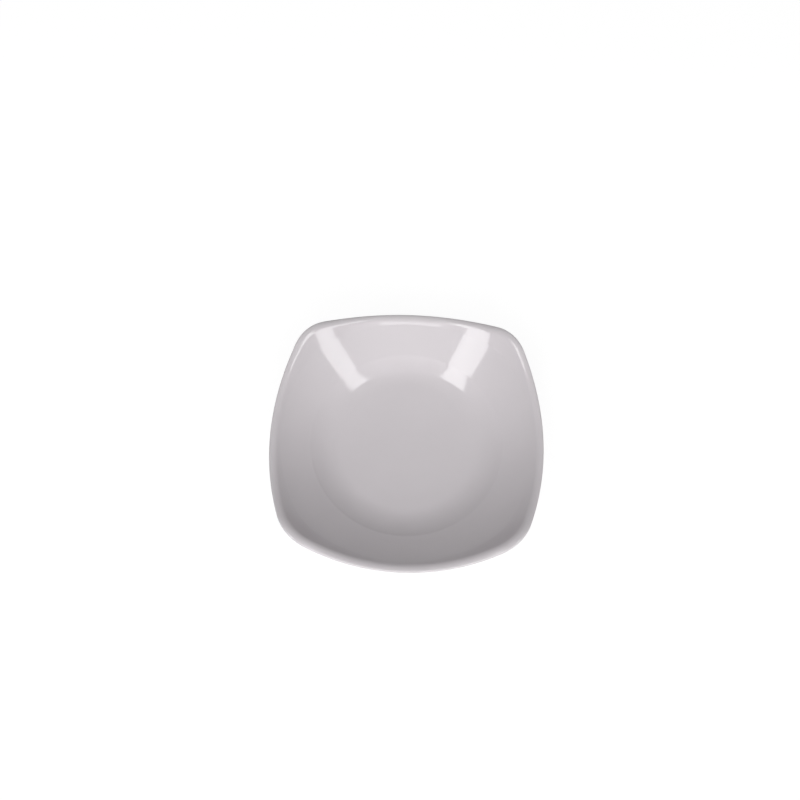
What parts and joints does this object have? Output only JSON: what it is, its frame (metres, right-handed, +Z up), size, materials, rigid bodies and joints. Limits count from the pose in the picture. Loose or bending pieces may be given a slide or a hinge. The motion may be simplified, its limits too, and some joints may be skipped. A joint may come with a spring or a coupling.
{
  "type": "soy sauce dish",
  "caption": "Small square ceramic sauce dish with bowed sides, raised corners, a round well and a foot ring.",
  "frame": {"origin": "centre of the foot ring's flat face", "axes": "+Z up out of the dish; the sides face +X, -X, +Y and -Y, and the corners lie between them"},
  "size_m": [0.095, 0.095, 0.0233],
  "materials": {
    "clay": "matt unglazed biscuit",
    "glaze": "glossy white glaze"
  },
  "bodies": {
    "root": {"dish_body": "clay", "glaze": "glaze", "base_glaze": "glaze"}
  },
  "joints": []
}
